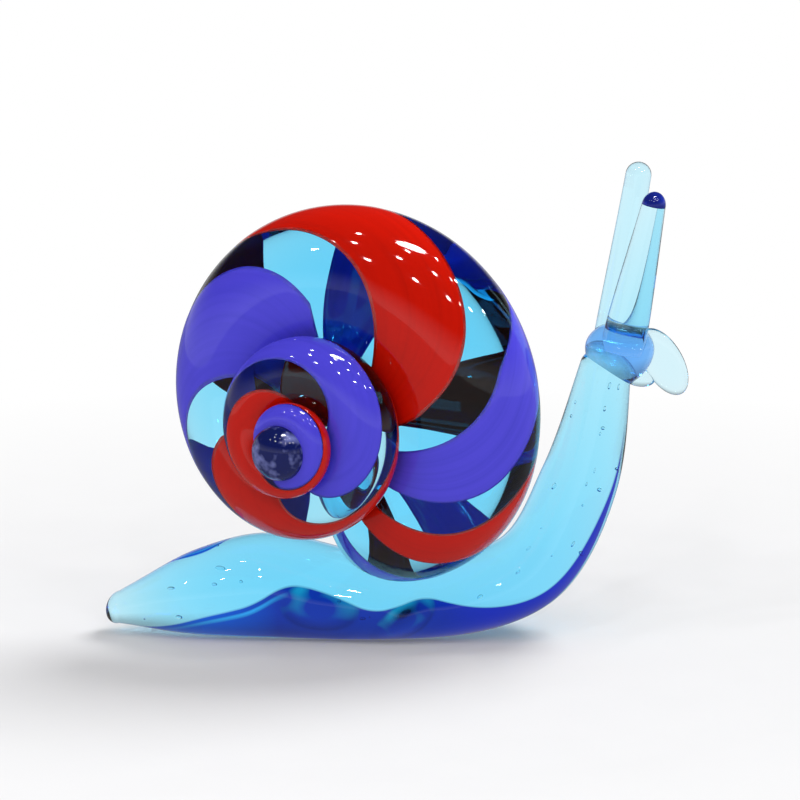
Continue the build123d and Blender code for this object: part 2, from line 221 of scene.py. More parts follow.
class SnailColours(bpy.types.PropertyGroup):
    """Colours of the glasses."""

    aqua: colour("Aqua glass", "Colour of light through 10 mm of the body's glass", "#80dfff")
    aqua_skin: colour("Aqua skin", "Tint at the surface of the clear glass", "#eefbff")
    # Painted shade: the clear glass darkens towards its outline, by the viewing angle
    painted_edge_shade: colour("Aqua edge", "Tint of the clear glass at its edges", "#1f5fd0")
    # Painted reflection: the dark foot colours stand in for the dark surroundings and the shell seen
    # reflected in the foot's lower front
    painted_dark_foot: colour("Deep foot", "Tint of the thick foot under its upper slope", "#01086e")
    # Painted shade on the lower side of the foot's lumps
    painted_lump_shade: colour("Deep rim", "Tint of the shaded side of the lumps of the foot", "#00034a")
    # Painted reflection, towards the tail and towards the neck
    painted_dark_foot_tail: colour("Deep tail", "Tint of the thick foot towards the tail", "#0029c0")
    painted_dark_foot_neck: colour("Deep neck", "Tint of the thick foot towards the neck", "#020490")
    # Painted light in crescents on the upper side of the foot's lumps
    painted_lump_light: colour("Deep teal", "Paler crescents in the lumps of the foot", "#04709c")
    # Painted light: a paler line within the painted dark foot
    painted_pale_line: colour("Deep line", "Pale line along the slope towards the tail", "#1f86e6")
    blue: colour("Head glass", "Colour of light through 4 mm of the head's glass", "#92c8fc")
    red: colour("Red glass", "Colour of the red stripe", "#c81404")
    red_deep: colour("Deep red", "Darker streaks in the red stripe", "#b01004")
    violet: colour("Violet glass", "Colour of the violet stripe", "#5149dc")
    violet_deep: colour("Deep violet", "Darker streaks in the violet stripe", "#3f3dc8")
    cobalt: colour("Cobalt glass", "Colour of the dark feeler tip", "#16237f")
    cobalt_pale: colour("Pale cobalt", "Paler clouds in the dark feeler tip", "#2136b0")
    navy: colour("Navy glass", "Colour of the bead at the apex", "#101a58")
    navy_pale: colour("Pale navy", "Paler clouds in the bead at the apex", "#7c84c4")
    paper: colour("Paper", "Colour of the pale ground", "#d8d8d9")


class SnailStudio(bpy.types.PropertyGroup):
    """Camera and light."""

    elevation: angle("Camera elevation", "Height of the camera above the horizon", 12.0)
    distance: length("Camera distance", "From the camera to the snail", 320.0)
    target: bpy.props.FloatVectorProperty(
        name="Target", description="Point the camera looks at",
        default=(0.427 * MM, 0, 20.45 * MM), unit="LENGTH", precision=5,
    )
    focal: number("Focal length", "Focal length in millimetres on a 36 mm sensor", 168.5)
    softbox_power: power("Softbox power", "Power of the softbox", 4.0)
    softbox_width: length("Softbox width", "Width of the softbox, which is half as deep", 270.0)
    lamp_power: power("Lamp power", "Power of each small lamp", 0.3)
    lamp_size: length("Lamp size", "Width of a small lamp", 38.0)
    lamp_distance: length("Lamp distance", "From the lamps to the snail", 900.0)
    window_strength: number("Window strength", "Strength of the soft light from behind", 2.6)
    ambient: number("Ambient", "Strength of the even light from all round", 0.42)


# Meshes


def skin_faces(count, around):
    """Faces of a closed skin over rings of points, with a pole at each end."""
    side = np.arange(around)
    after = (side + 1) % around
    start = (np.arange(count - 1) * around)[:, None]
    quads = np.stack([start + side, start + after, start + after + around, start + side + around], axis=-1)
    first_pole = count * around
    last_ring = (count - 1) * around
    pairs = list(zip(side.tolist(), after.tolist()))
    faces = quads.reshape(-1, 4).tolist()
    faces += [(b, a, first_pole) for a, b in pairs]
    faces += [(last_ring + a, last_ring + b, first_pole + 1) for a, b in pairs]
    return faces


def skin(name, rings, poles=None, lay=None):
    """A smooth closed piece over rings of points. lay gives each point its place in a drawn rod."""
    count, around = rings.shape[:2]
    if poles is None:
        poles = [rings[0].mean(0), rings[-1].mean(0)]
    points = np.concatenate([rings.reshape(-1, 3), np.array(poles)])
    mesh = bpy.data.meshes.new(name)
    mesh.from_pydata(points.tolist(), [], skin_faces(count, around))
    if lay is not None:
        ends = np.stack([lay[0].mean(0), lay[-1].mean(0)])
        values = np.concatenate([lay.reshape(-1, 3), ends]).astype(np.float32)
        mesh.attributes.new("lay", "FLOAT_VECTOR", "POINT").data.foreach_set("vector", values.ravel())
    shaper = bmesh.new()
    shaper.from_mesh(mesh)
    bmesh.ops.recalc_face_normals(shaper, faces=shaper.faces)
    shaper.to_mesh(mesh)
    shaper.free()
    mesh.shade_smooth()
    piece = bpy.data.objects.new(name, mesh)
    bpy.context.scene.collection.objects.link(piece)
    return piece


def place(piece, material, node):
    """Gives a piece its glass, its body and the solid that it stands for."""
    piece.data.materials.append(material)
    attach(piece, "root")
    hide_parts(node)


def fuse(piece, *neighbours):
    """Cuts the room of its neighbours' rings and poles from a piece. They overlap it by a thin seam."""
    for rings, poles in neighbours:
        cutter = skin("cutter", rings, poles)
        cut = piece.modifiers.new("seam", "BOOLEAN")
        cut.operation = "DIFFERENCE"
        cut.solver = "EXACT"
        cut.object = cutter
        shaped = piece.evaluated_get(bpy.context.evaluated_depsgraph_get())
        piece.data = bpy.data.meshes.new_from_object(shaped)
        piece.modifiers.clear()
        bpy.data.objects.remove(cutter)
        if not piece.data.polygons:
            raise RuntimeError(f"Nothing is left of {piece.name} beside its neighbours")
    piece.data.set_sharp_from_angle(angle=radians(40))


# Body


def body_rows(sizes):
    """Rows along the body from tail to neck: ahead, up, tilt, width, thickness."""
    hump_thickness = sizes.hump_height + sizes.sole_sink
    saddle_thickness = sizes.saddle_height + sizes.sole_sink
    tip = (-sizes.tail_reach, sizes.tail_tip_height)
    hump = (-sizes.hump_reach, hump_thickness / 2 - sizes.sole_sink)
    rows = [(*tip, 0.0, sizes.tail_tip_width / 2, sizes.tail_tip_thickness / 2)]
    for share in (0.03, 0.16, 0.55, 1.0):
        swell = sin(share * pi / 2)
        rows.append((
            tip[0] + (hump[0] - tip[0]) * share,
            tip[1] + (hump[1] - tip[1]) * swell,
            0.0,
            sizes.tail_tip_width + (sizes.hump_width - sizes.tail_tip_width) * swell,
            sizes.tail_tip_thickness + (hump_thickness - sizes.tail_tip_thickness) * swell,
        ))
    rows.append((
        sizes.saddle_reach, saddle_thickness / 2 - sizes.sole_sink, 0.0, sizes.saddle_width, saddle_thickness
    ))
    columns = ("reach", "height", "tilt", "width", "thickness")
    for part in ("bend", "neck_root", "neck_top"):
        rows.append([getattr(sizes, f"{part}_{column}") for column in columns])
    return np.array(rows)


def smooth_rows(rows, count):
    """Rows at even steps along a smooth curve through the given rows, and their places along it."""
    steps = np.hypot(np.diff(rows[:, 0]), np.diff(rows[:, 1]))
    places = np.concatenate([[0.0], np.cumsum(steps)])
    before = np.maximum(np.arange(len(rows)) - 1, 0)
    after = np.minimum(np.arange(len(rows)) + 1, len(rows) - 1)
    slopes = (rows[after] - rows[before]) / (places[after] - places[before])[:, None]
    along = np.linspace(0, places[-1], count)
    at = np.clip(np.searchsorted(places, along, side="right") - 1, 0, len(rows) - 2)
    span = (places[at + 1] - places[at])[:, None]
    share = (along - places[at])[:, None] / span
    ease = share**2 * (3 - 2 * share)
    bend = share * (1 - share) * ((1 - share) * slopes[at] - share * slopes[at + 1]) * span
    return rows[at] + (rows[at + 1] - rows[at]) * ease + bend, along


def even_out(values, reach):
    """Each value's mean with its neighbours on both sides."""
    count = 2 * reach + 1
    return np.convolve(np.pad(values, reach, mode="edge"), np.ones(count) / count, mode="valid")


# Lumps on the foot's near side: mm ahead, radians below the side, half length and half width in mm, slant
FOOT_LUMPS = (
    (-6.4, 0.0, 3.6, 2.3, 0.1),
    (0.7, 0.2, 3.0, 1.9, 0.5),
)
# Upper edge of the painted dark foot, a painted reflection, from tail to neck: mm ahead, height as a share of
# the body's half height
PAINTED_DARK_EDGE = np.array([
    (-24, -1.1), (-21, -0.75), (-16.7, -0.3), (-12, -0.05), (-9.5, 0.35), (-8, 0.4), (-5, 0.32), (-2, 0.1),
    (0, 0.25), (2.5, 0.5), (4, 0.35), (7, 0), (10, -0.3), (12.5, -0.5), (14.5, -0.62), (16, -0.75),
    (17.2, -0.85), (18, -1.1),
])
# Painted dark band along the ridge of the tail, part of the painted reflection: mm ahead, width in degrees
# round the body
PAINTED_RIDGE_BAND = np.array([(-22, 0), (-19, 26), (-16.7, 38), (-14.5, 24), (-12.5, 0)])


def foot_lumps(ahead, half_height, turn):
    """Distance from the nearest lump's middle in its half widths, and how far up on it a point lies."""
    nowhere_near = 9.0
    nearest = np.full((len(ahead), len(turn)), nowhere_near)
    upper = np.zeros_like(nearest)
    for reach, lower, half_length, half_width, slant in FOOT_LUMPS:
        along = ahead[:, None] / MM - reach
        around = -np.angle(np.exp(1j * (turn - pi - lower))) * half_height[:, None] / MM
        height = (around - slant * along) / half_width
        off = np.hypot(along / half_length, height)
        upper = np.where(off < nearest, np.clip(0.4 + height, 0, 1), upper)
        nearest = np.minimum(nearest, off)
    return nearest, upper


def body_rings(sizes, grow=0.0):
    """Rings of points over the body, rounded at both ends and pressed flat under the foot."""
    count, around, end_count = 340, 128, 12
    tail_round = 1.2 * MM
    top_round = 1.6 * MM
    fine_count = 1200
    rows, along = smooth_rows(body_rows(sizes), fine_count)
    bulge = 1 - np.cos(np.arange(1, end_count) / end_count * pi / 2)
    middle = np.linspace(tail_round, along[-1] - top_round, count)
    stops = np.concatenate([tail_round * bulge, middle, along[-1] - top_round * bulge[::-1]])
    ahead, up, tilt = (np.interp(stops, along, column) for column in rows.T[:3])
    width, thickness = (np.interp(np.maximum(stops, tail_round), along, column) for column in rows.T[3:])
    shrink = np.sqrt(1 - np.clip(1 - stops / tail_round, 0, 1) ** 2)
    shrink *= np.sqrt(1 - np.clip(1 - (along[-1] - stops) / top_round, 0, 1) ** 2)
    turn = np.arange(around) / around * 2 * pi
    across = ((width / 2 + grow) * shrink)[:, None] * np.cos(turn)
    rise = ((thickness / 2 + grow) * shrink)[:, None] * np.sin(turn)
    rings = np.empty((len(stops), around, 3))
    rings[..., 0] = ahead[:, None] - rise * np.sin(tilt)[:, None]
    rings[..., 1] = across
    rings[..., 2] = up[:, None] + rise * np.cos(tilt)[:, None]
    # Each lump stands in a shallow hollow of its own
    off, _ = foot_lumps(ahead, thickness / 2, turn)
    lump, hollow = np.exp(-1.6 * off**2), np.exp(-0.7 * off**2)
    relief = sizes.lump_rise * (lump - 0.9 * hollow)
    centres = np.stack([ahead, np.zeros(len(stops)), up], axis=1)[:, None]
    rings = centres + (rings - centres) * (1 + relief / (thickness / 2)[:, None])[..., None]
    height = rings[..., 2]
    edge = sizes.sole_edge
    rings[..., 2] = (height + np.sqrt(height**2 + edge**2)) / 2
    return rings


def below_painted_dark_edge(rings):
    """How far each point lies below the edge of the painted dark foot, a painted reflection, as a share of
    the body's half height.
    """
    ahead = rings.mean(1)[:, 0] / MM
    limit = even_out(np.interp(ahead, *PAINTED_DARK_EDGE.T), 8)
    turn = np.arange(rings.shape[1]) / rings.shape[1] * 2 * pi
    # On the far side the painted dark reflection keeps to the foot's lower edge
    far_limit = -0.92
    far = np.clip(np.cos(turn) * 3 + 0.5, 0, 1)
    below = limit[:, None] * (1 - far) + far_limit * far - np.sin(turn)
    band = even_out(np.interp(ahead, *PAINTED_RIDGE_BAND.T), 12)
    band_start = 60
    across = np.degrees(turn) - band_start
    ridge = np.minimum(across + 5, band[:, None] * 1.5 - across) / 60
    # A clear line where the foot meets the ground
    clear_below = -0.9
    return np.minimum(np.maximum(below, ridge), (np.sin(turn) - clear_below) * 2)


def neck_rings(scene):
    """Rings and poles of the upper neck, thinner than it by the seam."""
    neck_start = 240
    rings = body_rings(scene.snail_body, -scene.snail_head.seam)[neck_start:]
    return rings, [rings[0].mean(0), rings[-1].mean(0)]


def seat_on_cane(rings, cane):
    """Dents the body's skin where the shell is sunk into it, so that the two glasses join."""
    tree = BVHTree.FromObject(cane, bpy.context.evaluated_depsgraph_get())
    overlap = 0.04 * MM
    down = Vector((0, 0, -1))
    low, high = (np.array(corner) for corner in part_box("shell_cane"))
    flat = rings.reshape(-1, 3)
    inside_box = np.all((flat > low) & (flat < high), axis=1)
    for at in np.nonzero(inside_box)[0]:
        point = Vector(flat[at])
        hit, normal, _, _ = tree.ray_cast(point, down)
        if hit is not None and normal.z < 0:
            flat[at, 2] = hit.z + overlap
    return flat.reshape(rings.shape)


def bubble_islands(sizes):
    """Points and inward faces of the small drawn bubbles in the neck, the foot and the tail."""
    draw = np.random.default_rng(7)
    steps = 400
    rows, _ = smooth_rows(body_rows(sizes), steps)
    points, faces = [], []
    around, rings = 10, 7
    # From and to along the body, and how many: neck, tail, foot
    groups = ((0.62, 0.95, 26), (0.06, 0.3, 9), (0.35, 0.6, 8))
    side = np.array([0, 1.0, 0])
    for place_along in np.concatenate([draw.uniform(*group) for group in groups]):
        ahead, up, tilt, width, thickness = rows[int(place_along * (steps - 1))]
        ray = draw.uniform(0, 2 * pi)
        off = 0.36 * sqrt(draw.uniform(0.05, 1))
        centre = np.array([ahead, off * width * cos(ray), up])
        lift = off * thickness * sin(ray)
        centre += lift * np.array([-sin(tilt), 0, cos(tilt)])
        small = draw.uniform(0.05, 0.13) * MM
        long = small * draw.uniform(1.2, 3.6)
        forward = np.array([cos(tilt), 0, sin(tilt)])
        upward = np.cross(forward, side)
        first = len(points)
        for ring in range(rings):
            lat = (ring + 0.5) / rings * pi
            for step in range(around):
                turn = step / around * 2 * pi
                spoke = side * cos(turn) + upward * sin(turn)
                points.append(centre - forward * long * cos(lat) + spoke * small * sin(lat))
        points.append(centre - forward * long)
        points.append(centre + forward * long)
        faces.append((first, skin_faces(rings, around)))
    return points, faces


class SNAIL_OT_body(bpy.types.Operator):
    """Builds the clear body with its flat sole, its seat for the shell and its fine bubbles"""

    bl_idname = "snail.body"
    bl_label = "Body"

    def execute(self, context):
        sizes = context.scene.snail_body
        cane = bpy.data.objects["snail_shell_cane"]
        rings = body_rings(sizes)
        below = below_painted_dark_edge(rings)
        piece = skin("snail_body", seat_on_cane(rings, cane))
        half_height = np.ptp(rings[..., 2], axis=1) / 2
        turn = np.arange(rings.shape[1]) / rings.shape[1] * 2 * pi
        off, upper = foot_lumps(rings.mean(1)[:, 0], half_height, turn)
        lump = 1 - np.minimum(1, off)
        poles = [-1, -1]
        # Where the painted dark foot lies, and the lumps that carry painted light above and painted shade
        # below
        for name, values in (("below", below), ("lump", lump), ("upper", upper)):
            values = np.concatenate([values.ravel(), poles]).astype(np.float32)
            piece.data.attributes.new(name, "FLOAT", "POINT").data.foreach_set("value", values)
        shaper = bmesh.new()
        shaper.from_mesh(piece.data)
        points, islands = bubble_islands(sizes)
        made = [shaper.verts.new(point) for point in points]
        for first, faces in islands:
            new_faces = [shaper.faces.new([made[first + corner] for corner in face]) for face in faces]
            bmesh.ops.recalc_face_normals(shaper, faces=new_faces)
            bmesh.ops.reverse_faces(shaper, faces=new_faces)
        shaper.to_mesh(piece.data)
        shaper.free()
        piece.data.shade_smooth()
        place(piece, aqua_glass(context.scene.snail_colours), "body")
        return {"FINISHED"}


# Shell


class Winding:
    """The line that the cane follows, and its section, counted in turns back from the mouth."""

    def __init__(self, sizes):
        self.sizes = sizes
        left, down = sizes.axis_left, sizes.axis_down
        self.axis = np.array([left, -sqrt(1 - left**2 - down**2), down])
        up = np.array([0, 0, 1.0]) - self.axis * self.axis[2]
        self.up = up / np.linalg.norm(up)
        self.side = np.cross(self.up, self.axis)
        shrink = 1 / sizes.cane_growth
        reach = (1 + shrink + sizes.whorl_gap) / (1 - shrink)
        self.climb = sqrt(reach**2 - sizes.winding_ratio**2)
        self.foot = np.zeros(3)
        # The shell's lowest point lies in the first third of a turn
        turns = np.arange(-4, 60) / 200
        angles = np.broadcast_to(np.arange(180) * pi / 90, (len(turns), 180))
        lowest = self.points(turns, angles, self.radius(turns)[:, None])[..., 2].min()
        self.foot = np.array([sizes.shell_reach, sizes.shell_side, sizes.shell_rest - lowest])

    def spread(self, turns):
        """Size of the winding as a share of its size at the mouth."""
        ray = 2 * pi * turns
        uneven = 1 + self.sizes.uneven_height * np.cos(ray) + self.sizes.uneven_side * np.sin(ray)
        return self.sizes.cane_growth**-turns * uneven

    def pinch(self, turns, amount):
        """Share that the pinched mouth leaves of a size."""
        return 1 - amount * np.maximum(0, 1 - turns / self.sizes.mouth_pinch_turns) ** 2

    def radius(self, turns):
        """Half width of the cane."""
        sizes = self.sizes
        rounding = np.maximum(0, 1 - (turns - sizes.mouth_end) / sizes.mouth_round_turns)
        mouth = self.pinch(turns, sizes.mouth_thinning) * np.sqrt(1 - sizes.mouth_rounding * rounding**2)
        taper = np.maximum(0, 1 - (sizes.cane_turns - turns) / sizes.apex_taper_turns)
        return sizes.cane_radius * self.spread(turns) * mouth * (1 - sizes.apex_taper * taper**2)

    def outward(self, turns):
        """Direction from the axis to the cane."""
        clock = (pi - 2 * pi * turns)[:, None]
        return self.up * np.cos(clock) + self.side * np.sin(clock)

    def climbed(self, spread):
        """How far the cane has climbed along the axis where the winding has this spread."""
        return self.sizes.cane_squash * self.climb * self.sizes.cane_radius * (1 - spread)

    def centre(self, turns):
        """Points on the cane's middle line."""
        sizes = self.sizes
        spread = self.spread(turns)
        wind = sizes.winding_ratio * sizes.cane_radius * spread * self.pinch(turns, sizes.mouth_tuck)
        return self.foot + self.outward(turns) * wind[:, None] + self.axis * self.climbed(spread)[:, None]

    def points(self, turns, angles, radius):
        """Points on the cane's sections at these angles round it, one row of angles for each turn."""
        across = (radius * np.cos(angles))[..., None] * self.outward(turns)[:, None, :]
        along_axis = (radius * self.sizes.cane_squash * np.sin(angles))[..., None] * self.axis
        return self.centre(turns)[:, None, :] + across + along_axis

    def travel(self, turns):
        """Length of the cane from its mouth to each turn."""
        steps = np.linalg.norm(np.diff(self.centre(turns), axis=0), axis=1)
        return np.concatenate([[0.0], np.cumsum(steps)])


def red_angles(stripes, growth, turns):
    """Where the red stripe's middle lies round the cane."""
    twist = stripes.twist_turns * (growth**-turns - growth**-stripes.front_turn)
    extra = np.maximum(0, 1 - turns / stripes.mouth_twist_turns) ** 2
    return pi / 2 + 2 * pi * twist + stripes.mouth_twist * extra


def stripe_widths(stripes, sizes, turns):
    """Widths of the red and the violet stripe round the cane."""
    narrow = 1 - stripes.mouth_narrowing * np.maximum(0, 1 - turns / sizes.mouth_pinch_turns)
    share = (turns - stripes.apex_widening_start) / (sizes.cane_turns - stripes.apex_widening_start)
    widen = stripes.apex_widening * np.clip(share, 0, 1)
    red, violet = (stripes.width - widen) * narrow, (stripes.width + widen) * narrow
    closing = (turns - stripes.closing_start) / (stripes.closing_end - stripes.closing_start)
    hair_line = radians(5)
    return red, violet + (2 * pi - hair_line - red - violet) * np.clip(closing, 0, 1)


class SNAIL_OT_shell_cane(bpy.types.Operator):
    """Builds the clear cane, wound up from its mouth to the apex"""

    bl_idname = "snail.shell_cane"
    bl_label = "Shell cane"

    def execute(self, context):
        sizes = context.scene.snail_shell
        winding = Winding(sizes)
        count, around = 760, 112
        turns = np.linspace(sizes.mouth_end, sizes.cane_turns, count)
        angles = np.broadcast_to(np.arange(around) / around * 2 * pi, (count, around))
        radius = winding.radius(turns) - context.scene.snail_stripes.cover
        rings = winding.points(turns, angles, radius[:, None])
        start = rings[0].mean(0)
        back = start - winding.centre(turns[:2])[1]
        back /= np.linalg.norm(back)
        dome = []
        for left in (0.05, 0.15, 0.3, 0.5, 0.75):
            dome.append(start + (rings[0] - start) * left + back * sizes.mouth_dome * (1 - left**2))
        rings = np.concatenate([np.array(dome), rings])
        poles = [start + back * sizes.mouth_dome, rings[-1].mean(0)]
        piece = skin("snail_shell_cane", rings, poles)
        place(piece, aqua_glass(context.scene.snail_colours), "shell_cane")
        return {"FINISHED"}


# The stripes' far side along the cane: turn, further lag and width of red, further lag and width of violet
FAR_SIDE = np.array([
    (0.00, 58, 1.05, 1, 1.15),
    (0.20, 58, 1.05, 1, 1.15),
    (0.30, 58, 1.05, 70, 0.40),
    (0.43, 58, 1.05, 70, 0.40),
    (0.50, 58, 1.05, 54, 0.60),
    (0.58, 58, 1.05, 54, 0.60),
    (0.73, 33, 0.75, 11, 1.28),
    (0.90, 33, 0.75, 11, 1.28),
    (1.02, 33, 0.90, -25, 0.75),
    (1.30, 33, 0.90, -25, 0.75),
    (1.50, 33, 1.00, 0, 1.00),
])


def laid_round(angles, side_lag, far_lag):
    """Angles round the cane once its sides, and more so its far side, have lagged behind the twist."""
    sides = angles + side_lag * (1 - np.sin(angles)) / 2
    # The far side's lag is full between the third and the fourth of these angles
    after = np.radians([-20, 140, 255, 300, 340])
    first = after[0]
    laid = np.zeros_like(angles)
    soft = np.radians((-12, -6, 0, 6, 12))
    for row, lag in enumerate(far_lag):
        before = after - np.array([0, 0, lag, lag, 0])
        for step in soft:
            whole = np.floor((sides[row] + step - first) / (2 * pi)) * 2 * pi
            laid[row] += np.interp(sides[row] + step - whole, before, after) + whole
    return laid / len(soft)


def ribbon(name, winding, stripes, middles, widths, turns, phase, far_column):
    """A stripe: a flat rod of lens section that follows the cane's skin."""
    across = np.sin(np.linspace(-pi / 2, pi / 2, 30))
    sway = stripes.edge_sway * (np.sin(9 * turns + phase) + 0.6 * np.sin(23 * turns + 2 * phase))
    far_lag, far_width = (
        even_out(np.interp(turns, FAR_SIDE[:, 0], FAR_SIDE[:, column]), 13)
        for column in (far_column, far_column + 1)
    )
    far_lag = np.radians(far_lag)
    laid_middles = laid_round(middles[:, None], stripes.side_lag, far_lag)[:, 0]
    far = np.clip(-np.sin(laid_middles) * 2, 0, 1)
    half = (widths / 2 * (1 + (far_width - 1) * far) + sway * 0.5)[:, None]
    angles = laid_round((middles + sway * 0.4)[:, None] + half * across, stripes.side_lag, far_lag)
    radius = winding.radius(turns)[:, None]
    top = radius - stripes.edge_dip * across**16
    floor = radius - stripes.edge_dip - stripes.depth * radius * np.sqrt(np.maximum(0, 1 - across**2))
    outer = winding.points(turns, angles, top)
    inner = winding.points(turns, angles[:, 1:-1], floor[:, 1:-1])[:, ::-1]
    travel = winding.travel(turns)[:, None]
    lay_outer = np.stack(np.broadcast_arrays(travel, across * half * radius, 0.0), axis=-1)
    lay_inner = lay_outer[:, 1:-1][:, ::-1]
    rings = np.concatenate([outer, inner], axis=1)
    return skin(name, rings, lay=np.concatenate([lay_outer, lay_inner], axis=1))


class SNAIL_OT_stripes(bpy.types.Operator):
    """Builds the red and the violet stripe, twisted with the cane"""

    bl_idname = "snail.stripes"
    bl_label = "Stripes"

    def execute(self, context):
        scene = context.scene
        sizes, stripes, colours = scene.snail_shell, scene.snail_stripes, scene.snail_colours
        winding = Winding(sizes)
        count = 900
        turns = np.linspace(sizes.mouth_end, sizes.cane_turns, count)
        middle = red_angles(stripes, sizes.cane_growth, turns)
        red_width, violet_width = stripe_widths(stripes, sizes, turns)
        red = ribbon("snail_red_stripe", winding, stripes, middle, red_width, turns, 0.4, 1)
        red_glass = opaque_glass("scarlet_rod_glass", colours.red, colours.red_deep)
        place(red, red_glass, "red_stripe")
        violet = ribbon("snail_violet_stripe", winding, stripes, middle + pi, violet_width, turns, 2.1, 3)
        violet_glass = opaque_glass("violet_rod_glass", colours.violet, colours.violet_deep)
        place(violet, violet_glass, "violet_stripe")
        return {"FINISHED"}


def dab_rings(centre, along, across, half_across, half_side, top, drop, point=1.0, start=-90):
    """Rings of a dab of glass: rounded above, and rounded or pointed below."""
    count, around = 56, 72
    side = np.cross(along, across)
    angles = np.radians(np.linspace(start, 90, count + 2))[1:-1]
    above = angles > 0
    reach = np.where(above, top, drop) * np.sin(angles)
    swell = np.cos(angles) ** np.where(above, 1.0, point)
    turn = np.arange(around) / around * 2 * pi
    ring = half_across * np.cos(turn)[:, None] * across + half_side * np.sin(turn)[:, None] * side
    rings = centre + along * reach[:, None, None] + ring * swell[:, None, None]
    low = -drop if start == -90 else 0.0
    return rings, [centre + along * low, centre + along * top]


class SNAIL_OT_apex_bead(bpy.types.Operator):
    """Builds the dark bead that closes the apex"""

    bl_idname = "snail.apex_bead"
    bl_label = "Apex bead"

    def execute(self, context):
        sizes, colours = context.scene.snail_shell, context.scene.snail_colours
        winding = Winding(sizes)
        rise = winding.climbed(winding.spread(sizes.cane_turns)) + sizes.apex_bead_proud
        rings, poles = dab_rings(
            winding.foot + winding.axis * rise, winding.axis, winding.up,
            sizes.apex_bead_radius, sizes.apex_bead_radius, sizes.apex_bead_height, sizes.apex_bead_height,
        )
        piece = skin("snail_apex_bead", rings, poles)
        glass = cobalt_glass("navy_bead_glass", colours.navy, colours.navy_pale)
        place(piece, glass, "apex_bead")
        return {"FINISHED"}


# Head


def by_neck(scene, ahead, side, up):
    """A point at that place from the top of the neck."""
    body = scene.snail_body
    return np.array([body.neck_top_reach, 0.0, body.neck_top_height]) + np.array([ahead, side, up])


def head_rings(scene, grow=0.0):
    """Rings and poles of the head."""
    sizes = scene.snail_head
    return dab_rings(
        by_neck(scene, sizes.head_ahead, 0, 0), np.array([0, 0, 1.0]), np.array([0, 1.0, 0]),
        sizes.head_width / 2 + grow, sizes.head_depth / 2 + grow,
        sizes.head_top + grow, sizes.head_drop + grow, sizes.head_point,
    )


class SNAIL_OT_head(bpy.types.Operator):
    """Builds the bluer dab over the top of the neck"""

    bl_idname = "snail.head"
    bl_label = "Head"

    def execute(self, context):
        scene = context.scene
        piece = skin("snail_head", *head_rings(scene))
        fuse(piece, neck_rings(scene))
        place(piece, blue_glass(scene.snail_colours), "head")
        return {"FINISHED"}


def feeler_line(scene, ahead, lean, side):
    """Root of a feeler and the way it points."""
    head = scene.snail_head
    root = by_neck(scene, ahead, side * head.spread, 0)
    along = np.array([sin(lean), side * sin(head.splay), cos(lean) * cos(head.splay)])
    return root, along / np.linalg.norm(along)


def feeler_rings(head, line, base, middle, tip, reach, round_tip):
    """Rings and poles of a feeler swelling from its root and drawn out to a round or a cut tip."""
    root, along = line
    share = np.linspace(0, 1, 90)
    weights = np.stack([(1 - share) ** 3, 3 * share * (1 - share) ** 2, 3 * share**2 * (1 - share), share**3])
    radius = np.array([base * head.root_ratio, base * head.swell_ratio, middle, tip]) @ weights
    height = np.array([0, reach * head.swell_place, reach * head.middle_place, reach]) @ weights
    if round_tip:
        dome = np.radians(np.linspace(0, 84, 16))[1:]
        radius = np.concatenate([radius, tip * np.cos(dome)])
        height = np.concatenate([height, reach + tip * np.sin(dome)])
    out = np.cross(along, np.array([0, 1.0, 0]))
    out /= np.linalg.norm(out)
    side = np.cross(along, out)
    turn = np.arange(56) / 56 * 2 * pi
    spoke = np.cos(turn)[:, None] * out + np.sin(turn)[:, None] * side
    rings = root + along * height[:, None, None] + spoke * radius[:, None, None]
    end = reach + (tip if round_tip else 0)
    return rings, [root, root + along * end]


def near_feeler_rings(scene, grow=0.0):
    """Rings and poles of the near feeler."""
    head = scene.snail_head
    line = feeler_line(scene, head.near_ahead, head.near_lean, -1)
    widths = [width + grow for width in (head.near_base, head.near_middle, head.near_tip)]
    return feeler_rings(head, line, *widths, head.near_length, False)


class SNAIL_OT_feelers(bpy.types.Operator):
    """Builds both feelers and the dark dome on the near one"""

    bl_idname = "snail.feelers"
    bl_label = "Feelers"

    def execute(self, context):
        scene = context.scene
        head, colours = scene.snail_head, scene.snail_colours
        glass = aqua_glass(colours)
        near = skin("snail_near_feeler", *near_feeler_rings(scene))
        fuse(near, head_rings(scene, -head.seam))
        place(near, glass, "near_feeler")
        root, along = feeler_line(scene, head.near_ahead, head.near_lean, -1)
        out = np.cross(along, np.array([0, 1.0, 0]))
        rings, poles = dab_rings(
            root + along * head.near_length, along, out / np.linalg.norm(out),
            head.near_tip, head.near_tip, head.eye_height, head.eye_height, start=0,
        )
        dome = skin("snail_near_eye_tip", rings, poles)
        tip_glass = cobalt_glass("cobalt_rod_glass", colours.cobalt, colours.cobalt_pale)
        place(dome, tip_glass, "near_eye_tip")
        far = skin("snail_far_feeler", *feeler_rings(
            head, feeler_line(scene, head.far_ahead, head.far_lean, 1),
            head.far_base, head.far_middle, head.far_tip, head.far_length - head.far_tip, True,
        ))
        fuse(far, head_rings(scene, -head.seam), near_feeler_rings(scene, -head.seam))
        place(far, glass, "far_feeler")
        return {"FINISHED"}


